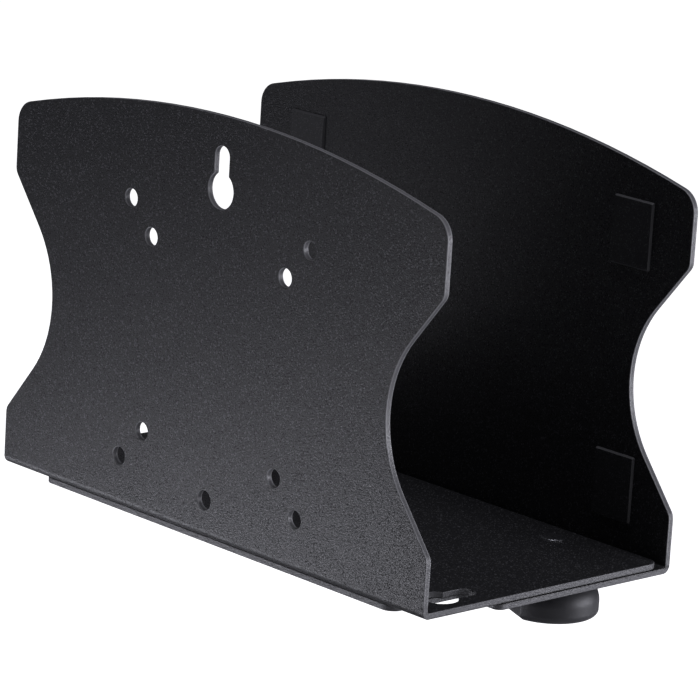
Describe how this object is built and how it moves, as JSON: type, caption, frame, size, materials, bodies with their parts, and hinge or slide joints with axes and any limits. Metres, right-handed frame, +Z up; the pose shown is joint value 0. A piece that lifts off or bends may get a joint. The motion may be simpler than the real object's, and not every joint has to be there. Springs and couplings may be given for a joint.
{
  "type": "cpu holder",
  "caption": "Adjustable steel holder for a desktop computer case: two L brackets on a wall or arm plate, clamped underneath by hand knobs.",
  "frame": {"origin": "centre of the square screw pattern, on the wall bracket's outer face", "axes": "+X from the wall across the case's width, +Y along the holder's length, +Z up"},
  "size_m": [0.1287, 0.239, 0.1861],
  "materials": {
    "powder_coated_steel": "fine-textured black powder coat, satin",
    "zinc_steel": "zinc plated",
    "knob_plastic": "moulded, fine satin texture",
    "brass_insert": "turned",
    "pad_foam": "black closed-cell foam, matte"
  },
  "bodies": {
    "wall_side": {"wall_bracket": "powder_coated_steel", "clamp_stud_front": "zinc_steel", "clamp_stud_rear": "zinc_steel", "wall_pad_upper_front": "pad_foam", "wall_pad_lower_front": "pad_foam", "wall_pad_upper_rear": "pad_foam", "wall_pad_lower_rear": "pad_foam"},
    "sliding_side": {"sliding_bracket": "powder_coated_steel", "sliding_pad_upper_front": "pad_foam", "sliding_pad_lower_front": "pad_foam", "sliding_pad_upper_rear": "pad_foam", "sliding_pad_lower_rear": "pad_foam"},
    "washer_front_body": {"washer_front": "zinc_steel"},
    "knob_front_body": {"knob_front": "knob_plastic", "knob_insert_front": "brass_insert"},
    "washer_rear_body": {"washer_rear": "zinc_steel"},
    "knob_rear_body": {"knob_rear": "knob_plastic", "knob_insert_rear": "brass_insert"}
  },
  "joints": [
    {"name": "width_slide", "type": "slide", "parent": "wall_side", "child": "sliding_side", "axis": [1, 0, 0], "range_m": [-0.0022, 0.088]},
    {"name": "knob_front_travel", "type": "slide", "parent": "wall_side", "child": "washer_front_body", "axis": [0, 0, -1], "range_m": [0, 0.00323]},
    {"name": "knob_front_turn", "type": "hinge", "parent": "washer_front_body", "child": "knob_front_body", "pos_m": [0.11, -0.0754, -0.085], "axis": [0, 0, -1], "range_deg": [0, 900]},
    {"name": "knob_rear_travel", "type": "slide", "parent": "wall_side", "child": "washer_rear_body", "axis": [0, 0, -1], "range_m": [0, 0.00323]},
    {"name": "knob_rear_turn", "type": "hinge", "parent": "washer_rear_body", "child": "knob_rear_body", "pos_m": [0.11, 0.0754, -0.085], "axis": [0, 0, -1], "range_deg": [0, 900]}
  ],
  "couplings": [
    {"joint": "knob_front_travel", "follows": "knob_front_turn", "m_per_rad": 0.00019894},
    {"joint": "knob_rear_travel", "follows": "knob_rear_turn", "m_per_rad": 0.00019894}
  ]
}
